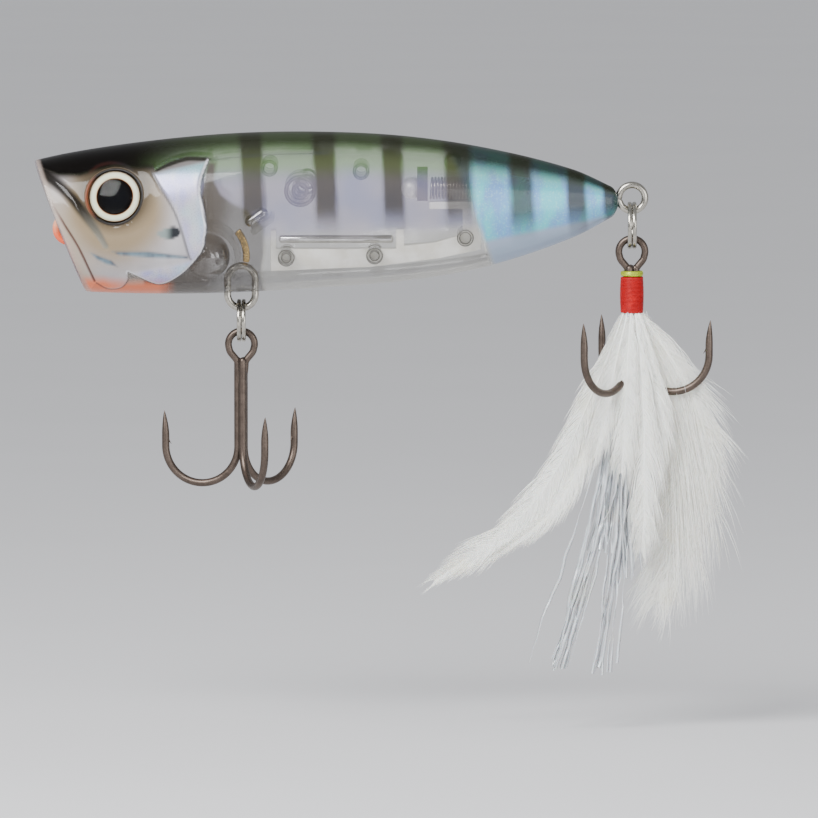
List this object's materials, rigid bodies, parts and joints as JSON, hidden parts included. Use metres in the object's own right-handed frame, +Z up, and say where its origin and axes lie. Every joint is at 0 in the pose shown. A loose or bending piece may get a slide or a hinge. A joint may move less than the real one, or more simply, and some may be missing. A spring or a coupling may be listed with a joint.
{
  "type": "topwater popper lure",
  "caption": "Hollow topwater fishing popper with a cupped mouth, inner weights, sprung ball, two swinging treble hooks on split rings and a feather-dressed tail hook.",
  "frame": {"origin": "centre of the line-tie wire ring in the mouth", "axes": "+X towards the tail, +Y towards the right-hand side of the lure, +Z up, towards its back"},
  "size_m": [0.084, 0.0184, 0.0661],
  "materials": {
    "clear_shell": "clear gloss, tinted and barred",
    "iris": "gloss",
    "eye_dome": "clear gloss dome",
    "foil": "holographic foil",
    "wire_orange": "satin",
    "wire_steel": "polished",
    "white_plastic": "pearl",
    "weight_steel": "polished",
    "weight_brass": "polished",
    "seat_plastic": "matte",
    "hook_bronze": "matt bronze nickel",
    "thread": "waxed thread",
    "tinsel": "tinsel",
    "feather": "soft barbs"
  },
  "bodies": {
    "body": {"left_shell": "clear_shell", "right_shell": "clear_shell", "left_iris": "iris", "right_iris": "iris", "left_eye_dome": "eye_dome", "right_eye_dome": "eye_dome", "left_gill_plate": "foil", "right_gill_plate": "foil", "left_tail_foil": "foil", "right_tail_foil": "foil", "line_tie": "wire_orange", "belly_hanger": "wire_steel", "tail_eye": "wire_steel", "inner_frame": "white_plastic", "balance_rod": "weight_steel", "keel_weight": "weight_brass", "slug_weight": "weight_steel", "spring": "wire_steel"},
    "rattle": {"front_weight": "weight_steel"},
    "plunger": {"spring_seat": "seat_plastic", "rear_ball": "weight_steel"},
    "belly_ring": {"belly_split_ring": "wire_steel"},
    "belly_hook": {"belly_treble": "hook_bronze"},
    "tail_ring": {"tail_split_ring": "wire_steel"},
    "tail_hook": {"tail_treble": "hook_bronze", "thread_wrap": "thread", "tinsel_tag": "tinsel", "left_hackle": "feather", "centre_hackle": "feather", "right_hackle": "feather", "flash_strands": "feather"}
  },
  "joints": [
    {"name": "rattle_slide", "type": "slide", "parent": "body", "child": "rattle", "axis": [1, 0, 0], "range_m": [-0.00045, 0.0001]},
    {"name": "plunger_slide", "type": "slide", "parent": "body", "child": "plunger", "axis": [1, 0, 0], "range_m": [0, 0.0015], "stiffness_N_per_m": 150, "deforming": ["spring"]},
    {"name": "belly_ring_swing", "type": "hinge", "parent": "body", "child": "belly_ring", "pos_m": [0.0205, 0, -0.0095], "axis": [1, 0, 0], "range_deg": [-45, 45]},
    {"name": "belly_hook_swing", "type": "hinge", "parent": "belly_ring", "child": "belly_hook", "pos_m": [0.0205, 0, -0.01333], "axis": [0, 1, 0], "range_deg": [-60, 60]},
    {"name": "tail_ring_swing", "type": "hinge", "parent": "body", "child": "tail_ring", "pos_m": [0.0671, 0, 0.0021], "axis": [1, 0, 0], "range_deg": [-50, 50]},
    {"name": "tail_hook_swing", "type": "hinge", "parent": "tail_ring", "child": "tail_hook", "pos_m": [0.0671, 0, -0.00228], "axis": [0, 1, 0], "range_deg": [-80, 20]}
  ]
}
